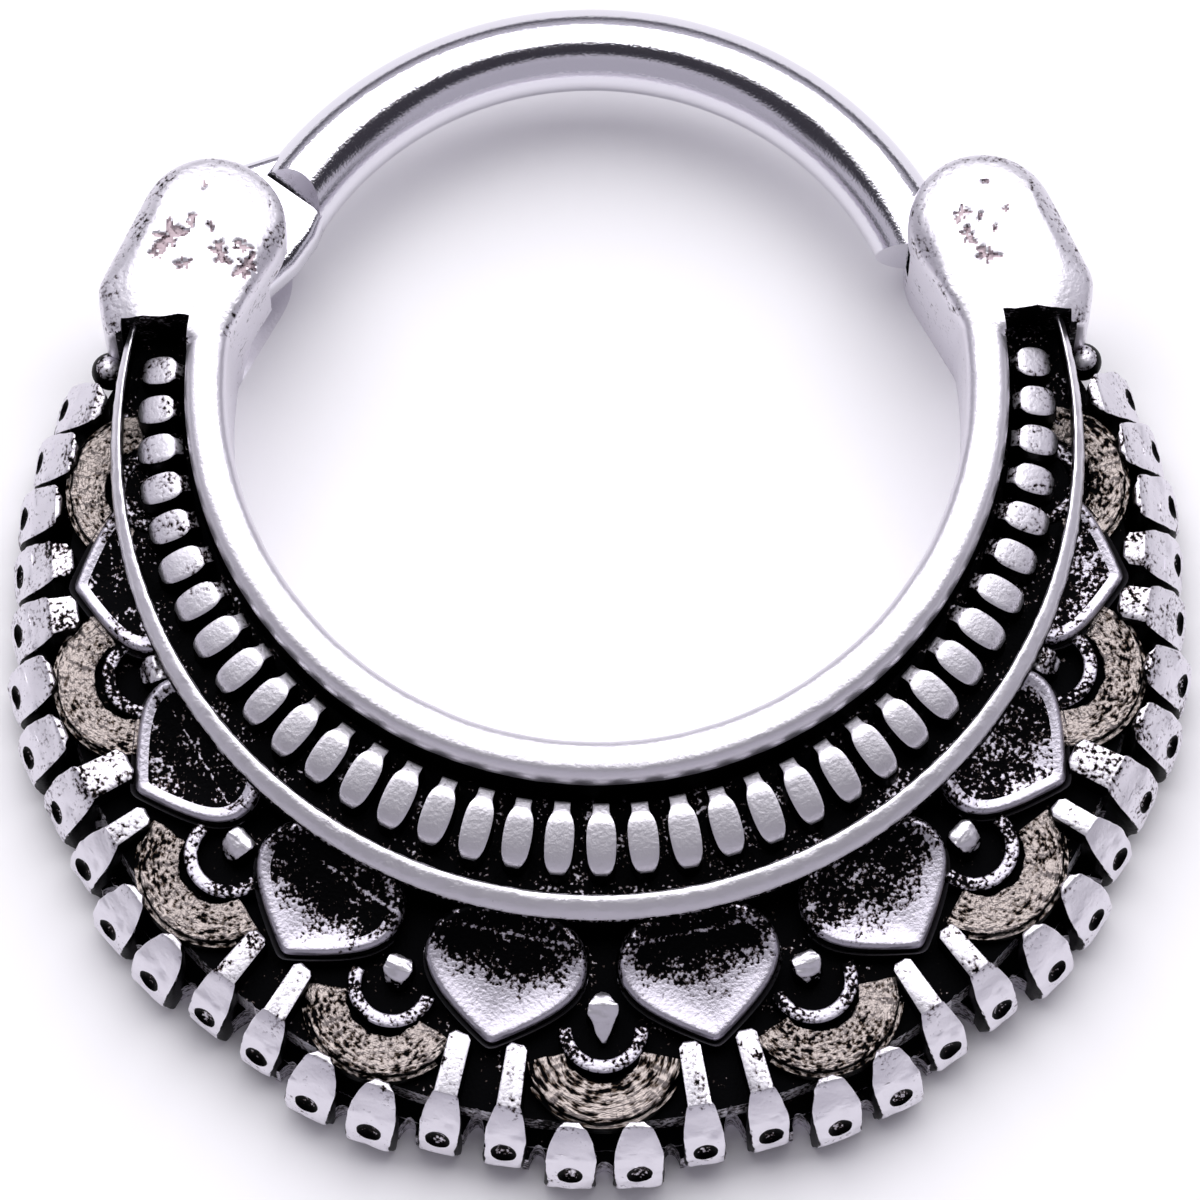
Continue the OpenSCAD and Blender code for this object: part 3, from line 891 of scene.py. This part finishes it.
def lug_body(x, y, side):
    """A dome round x, y, melted into the rim. Side is -1 on the left and 1 on the right."""
    calm()
    piece = hull([post(x, y, 1.07)] + [post(side * px, py, r) for px, py, r in LOW_POSTS]
                 + [post(x, y, 0.64, HIGH)] + [post(side * px, py, r, HIGH) for px, py, r in HIGH_POSTS])
    bpy.ops.mesh.primitive_uv_sphere_add(segments=96, ring_count=64, radius=1)
    ball = bpy.context.object
    ball.scale, ball.location = BALL_SIZE, (side * BALL_X, BALL_Y, BALL_Z)
    cut(piece, settle(ball), "INTERSECT")
    trim(piece, (0, 0.8, 2.6), (0, -0.07, 0.998))
    cut(piece, lug_stub(side), "UNION")
    modify(piece, "REMESH", mode="VOXEL", voxel_size=0.035)
    modify(piece, "SMOOTH", factor=0.5, iterations=70)
    grainy(piece, grain=0.07, depth=0.008)
    pocket = block((side * POCKET_X, POCKET_Y, 1), (POCKET_WIDE, POCKET_LONG, 5))
    edit("FACE")
    bpy.ops.mesh.subdivide(number_cuts=16)
    calm()
    cut(grainy(pocket, grain=0.3, depth=0.1), cylinder((0, 0, 1), RIM_OUT + 0.01, 8, sides=360))
    return flat_back(cut(piece, pocket))


print("domes at", PIVOT, "and", CATCH)

# %% [markdown]
# The domes are pitted where the casting was porous. The plate didn't hold there, so the pits are dark
# and a little sunk. Each one is a blot: its edge is a circle that a few sines make ragged.

# %% Pits
DOME_FROM, PIT_DEEP = 2.2, 0.025  # pits are only in what lies over this height
PITS = {-1: [(-6.1, 2.2, 0.24), (-5.78, 2.45, 0.1), (-5.36, 1.95, 0.17), (-5.05, 2.05, 0.12),
             (-5.9, 1.8, 0.11), (-5.0, 1.75, 0.18), (-5.6, 3.0, 0.05), (-5.5, 2.35, 0.07),
             (-6.3, 1.95, 0.09)],
        1: [(5.25, 2.42, 0.13), (5.5, 2.38, 0.06), (5.34, 2.1, 0.13), (5.6, 1.82, 0.15), (5.6, 2.95, 0.06),
            (5.88, 2.5, 0.06), (5.72, 2.2, 0.05)]}  # x, y and size, on the left and on the right dome


def in_pit(x, y, side):
    """Whether a place lies in one of the ragged pits of a lug's dome."""
    inside = np.zeros(np.shape(x), bool)
    for k, (px, py, size) in enumerate(PITS[side]):
        way = np.arctan2(y - py, x - px)
        edge = size * (0.72 + 0.3 * np.sin(2 * way + 5 * k) + 0.28 * np.sin(5 * way + 3 * k)
                       + 0.2 * np.sin(9 * way + k))
        inside = inside | (np.hypot(x - px, y - py) < edge)
    return inside


print("pits:", len(PITS[-1]), "on the left dome,", len(PITS[1]), "on the right")

# %% [markdown]
# A saw slot runs through each dome at the bar's height. The left one is widened in a round for the
# tongue's eye, and the dome below it is cut back to the round of the opening. The right one is sawn
# deeper on its outer side, where it catches the hook.
# A dome is bright on its crown and a little duller on its shoulders. Slot and pocket stay dark.

# %% Lugs
BAR_Z, SLOT_HIGH = 1.35, 1  # the bar's middle over the table, and the height of the slots round it
SLOT_FROM = {-1: 1.95, 1: 2.1}  # each slot's end towards the fan


def lug_slot(side):
    """What is cut out of a lug's dome for the bar's end."""
    slot = block((side * 6, SLOT_FROM[side] + 2, BAR_Z), (6, 4, SLOT_HIGH))
    if side < 0:
        return cut(slot, cylinder((*PIVOT, BAR_Z), 1.1, SLOT_HIGH), "UNION")
    return cut(slot, block((7.0, 2.36, BAR_Z), (4, 2, SLOT_HIGH)), "UNION")


def lug(side):
    piece = lug_body(*(PIVOT if side < 0 else CATCH), side)
    pick(piece, "VERT", lambda v: v.z > DOME_FROM and in_pit(v.x, v.y, side))
    bpy.ops.transform.translate(value=(0, 0, -PIT_DEEP))
    calm()
    if side < 0:
        cut(piece, cylinder((0, 0, 0.43), 5.24, 0.85, sides=180))
    cut(piece, lug_slot(side))

    def lug_rub(p, n):
        value = np.where(n[:, 2] > 0.2, 0.82 + 0.55 * ease(n[:, 2], 0.86, 0.97), 0.98)
        value = np.where((p[:, 2] > DOME_FROM) & in_pit(p[:, 0], p[:, 1], side), 0.8, value)
        in_slot = (np.abs(p[:, 2] - BAR_Z) < SLOT_HIGH / 2 + 0.01) & (p[:, 1] > SLOT_FROM[side] - 0.02)
        value = np.where(in_slot & ((np.abs(n[:, 2]) > 0.9) | (n[:, 1] > 0.8)), -0.1, value)
        by_pocket = ((np.hypot(p[:, 0], p[:, 1]) > RIM_OUT - 0.01)
                     & (np.abs(p[:, 0]) < POCKET_X + POCKET_WIDE / 2 + 0.09)
                     & (p[:, 1] < POCKET_Y + POCKET_LONG / 2 + 0.12))
        inwards = (n[:, 2] < 0.65) & ((n[:, 1] < -0.5) | (side * n[:, 0] < -0.4))
        value = np.where(by_pocket & inwards, 0.3, value)
        return np.where((p[:, 2] < 0.02) & (n[:, 2] < -0.5), 1.2, value)

    return rub(piece, lug_rub)


lugs = {}
for side, name in ((-1, "hinge_lug"), (1, "catch_lug")):
    lugs[side] = finish(lug(side), name, silver, crease=35)
    lugs[side].data.materials.append(pit_silver)
    for f in lugs[side].data.polygons:
        x, y, z = (v / MM for v in f.center)
        if z > DOME_FROM and in_pit(x, y - RING_Y, side):
            f.material_index = 1

# %% [markdown]
# The bar is one round wire on an arc. A circle of 64 points is spun round the bend's own middle.
# At the hinge end the wire is filed down, above and below, in a slope that falls off to the tongue.
# At the free end it stops short of the right dome, where the hook takes over.

# %% Bar
BEND_R, BEND_MIDDLE, GAUGE = 5.15, (-0.08, 0.32), 1.2
BAR_START, BAR_END = 18, 148  # angles on the bend, from the right dome to the left one
STEP_AT, STEP_UP, STEP_FALL = 143.4, 0.59, math.radians(43)  # where the slope starts and how it falls


def on_bar(r, angle):
    """A place at a radius and an angle of the bend."""
    a = math.radians(angle)
    return BEND_MIDDLE[0] + r * math.cos(a), BEND_MIDDLE[1] + r * math.sin(a)


calm()
bpy.ops.mesh.primitive_circle_add(vertices=64, radius=GAUGE / 2 - 0.006, fill_type="NGON",
                                  rotation=(math.pi / 2, 0, 0))
wire = bpy.context.object
wire.location = (BEND_R, 0, 0)
settle(wire)
wire.rotation_euler = (0, 0, math.radians(BAR_START))
wire.location = (*BEND_MIDDLE, BAR_Z)
settle(wire)
edit("FACE")
bpy.ops.mesh.spin(steps=150, angle=-math.radians(BAR_END - BAR_START), center=(*BEND_MIDDLE, BAR_Z),
                  axis=(0, 0, 1))
bpy.ops.mesh.select_all(action="SELECT")
bpy.ops.mesh.normals_make_consistent(inside=False)
calm()
cut(wire, cylinder((*CATCH, 0), 1.05, 6))
trim(wire, (0, 2.25, 0), (0, -1, 0))
x, y = on_bar(BEND_R, STEP_AT)
along = -math.sin(math.radians(STEP_AT)), math.cos(math.radians(STEP_AT))
for up in (1, -1):
    slope = (along[0] * math.sin(STEP_FALL), along[1] * math.sin(STEP_FALL), up * math.cos(STEP_FALL))
    trim(wire, (x, y, BAR_Z + up * STEP_UP), slope)
print("wire:", len(wire.data.polygons), "faces")

# %% [markdown]
# The tongue and the hook are flats. Each is the hull round a few plain solids, which is how a file
# leaves them: straight flats from the wire to the eye, and from the wire to the hook and its finger.
# The tongue's edges are rounded much more than the hook's. Last, the eye is drilled for the pin.

# %% Tongue and hook
TONGUE_THICK, HOOK_THICK, EYE_R, PIN_HOLE_R = 0.7, 0.9, 1.04, 0.44


def flat(place, wide, deep, thick, turn=0.0):
    """A flat block at the bar's height."""
    return block((*place, BAR_Z), (wide, deep, thick), turn)


calm()
eye = cylinder((*PIVOT, BAR_Z), EYE_R, TONGUE_THICK)
tongue = hull([eye, flat(on_bar(BEND_R + 0.01, 143), 0.86, 0.6, TONGUE_THICK, 143),
               flat((-4.42, 2.5), 0.6, 0.5, TONGUE_THICK, -35)])
hook = hull([flat(on_bar(BEND_R, 29), 0.66, 0.2, HOOK_THICK, 29),
             flat((CATCH[0] - 0.62, 2.47), 0.5, 0.5, HOOK_THICK)])
finger = hull([flat((CATCH[0] - 0.5, 2.3), 0.8, 0.3, HOOK_THICK),
               flat((CATCH[0] - 0.25, 1.55), 0.5, 0.2, HOOK_THICK)])
for end, edge in ((tongue, 0.2), (hook, 0.05), (finger, 0.05)):
    rounded(end, edge, sharper=50, segments=5)
for end in (tongue, hook, finger):
    cut(wire, end, "UNION")
cut(wire, cylinder((*PIVOT, BAR_Z), PIN_HOLE_R, 4, sides=64))
bar = finish(wire, "clicker_bar_wire", steel, body="bar", crease=30)
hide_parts("clicker_bar")

# %% [markdown]
# The cast pieces take the place of the imported casting, and the pin stays as it was packed.

# %% Hide the imported casting
cast = [rim, channel, ridge, drops, plate, hearts, arches, bands, nubs, prongs, beads, *lugs.values()]
for piece in cast:
    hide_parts("fan_casting")
print(len(cast), "pieces stand for the packed casting")

# %% [markdown]
# The ring lies on a table that is covered with white paper. Paper is matt, so it only takes the shadow.

# %% Table
calm()
bpy.ops.mesh.primitive_plane_add(size=0.6, location=(0, 0, cad_box[0][2]))
table = bpy.context.object
table.name = "table"
paper = bpy.data.materials.new("white paper")
paper.use_nodes = True
paper.node_tree.nodes["Principled BSDF"].inputs["Base Color"].default_value = tone("#fbfafc")
paper.node_tree.nodes["Principled BSDF"].inputs["Roughness"].default_value = 0.8
table.data.materials.append(paper)
print("table at", cad_box[0][2] / MM, "mm")

# %% [markdown]
# Polished metal shows the room round it. Here the walls are dim below and pale above, paler near the
# table on the camera's side, which keeps the prongs' toes light, and there is one dark gap behind the
# camera, which draws the dark band along the wire.

# %% Room
world = bpy.data.worlds.new("dim room")
world.use_nodes = True
sky = world.node_tree
way = node(sky, "TexCoord")
rise = node(sky, "SeparateXYZ", {"Vector": way.outputs["Generated"]})
walls = node(sky, "ValToRGB", {"Fac": rise.outputs["Z"]})
for element, (at, colour) in zip(walls.color_ramp.elements, ((0.0, "#504e56"), (1.0, "#cfccd6"))):
    element.position, element.color = at, tone(colour)
for at, colour in ((0.2, "#74727a"), (0.34, "#c2bfca")):
    walls.color_ramp.elements.new(at).color = tone(colour)
front = node(sky, "MapRange", {"Value": rise.outputs["Y"]}, From_Min=-0.35, From_Max=-0.75)
pale = node(sky, "MixRGB", {"Fac": front.outputs["Result"], "Color1": walls.outputs["Color"]})
pale.inputs["Color2"].default_value = tone("#b6b3be")
sides = node(sky, "Math", {0: rise.outputs["X"]}, operation="ABSOLUTE")
gap = None  # 1 in the gap and 0 out of it. Each edge fades from one value of the direction to another
for output, start, end in ((rise.outputs["Y"], 0.07, 0.02), (rise.outputs["Y"], -0.58, -0.5),
                           (sides.outputs["Value"], 0.8, 0.7), (rise.outputs["Z"], 0.3, 0.4)):
    edge = node(sky, "MapRange", {"Value": output}, From_Min=start, From_Max=end).outputs["Result"]
    if gap is not None:
        edge = node(sky, "Math", {0: gap, 1: edge}, operation="MULTIPLY").outputs["Value"]
    gap = edge
shade = node(sky, "MixRGB", {"Fac": gap, "Color1": pale.outputs["Color"]})
shade.inputs["Color2"].default_value = tone("#3c3a41")
sky.links.new(shade.outputs["Color"], sky.nodes["Background"].inputs["Color"])
sky.nodes["Background"].inputs["Strength"].default_value = 1.05
bpy.context.scene.world = world
print("room with", len(sky.nodes), "nodes")

# %% [markdown]
# The photograph was lit by one broad soft light overhead, a little behind the ring. It is an area
# light as large as a softbox really is, half a metre away, so its shadows are as soft.

# %% Softbox
LIGHT_TILT, LIGHT_AWAY, LIGHT_WATTS = math.radians(30), 0.5, 2.9
lamp = bpy.data.lights.new("overhead softbox", "AREA")
lamp.shape, lamp.size, lamp.size_y, lamp.energy = "RECTANGLE", 0.7, 0.5, LIGHT_WATTS
softbox = bpy.data.objects.new("overhead softbox", lamp)
way = Vector((0, math.sin(LIGHT_TILT), math.cos(LIGHT_TILT)))
softbox.location = way * LIGHT_AWAY
softbox.rotation_euler = way.to_track_quat("Z", "Y").to_euler()
bpy.context.collection.objects.link(softbox)
print("softbox", LIGHT_AWAY, "m away")

# %% [markdown]
# The camera looked down almost straight, from the side away from the bar, at about 73.5 degrees over
# the table, and it was turned very slightly. From 120 mm away the near edge looks only a little bigger.
# The bar's gauge is known and so is its width in the photograph, and that gives the scale of the view.

# %% Camera
PHOTO_PIXELS, BAR_PIXELS, SENSOR = 1200, 83.0, 36
VIEW_WIDE = PHOTO_PIXELS * (GAUGE / BAR_PIXELS)  # what the photograph shows from side to side, in mm
AIM = Vector((0.0145, 0.1476, 0))  # what the middle of the photograph shows
elevation, roll, distance = math.radians(73.5), -0.01, 120.0
back = Vector((0, -math.cos(elevation), math.sin(elevation)))
right = Vector((1, 0, 0))
up = back.cross(right)
across = math.cos(roll) * right + math.sin(roll) * up
upward = -math.sin(roll) * right + math.cos(roll) * up
camera = bpy.data.objects.new("camera", bpy.data.cameras.new("camera"))
bpy.context.collection.objects.link(camera)
pose = Matrix((across, upward, back)).transposed().to_4x4()
pose.translation = (AIM + back * distance) * MM
camera.matrix_world = pose
camera.data.sensor_width = SENSOR
camera.data.lens = SENSOR * distance / VIEW_WIDE
camera.data.clip_start = MM
bpy.context.scene.camera = camera
bpy.context.scene.view_settings.view_transform = "Standard"
print(f"lens {camera.data.lens:.0f} mm, {distance:.0f} mm away, {VIEW_WIDE:.2f} mm wide")
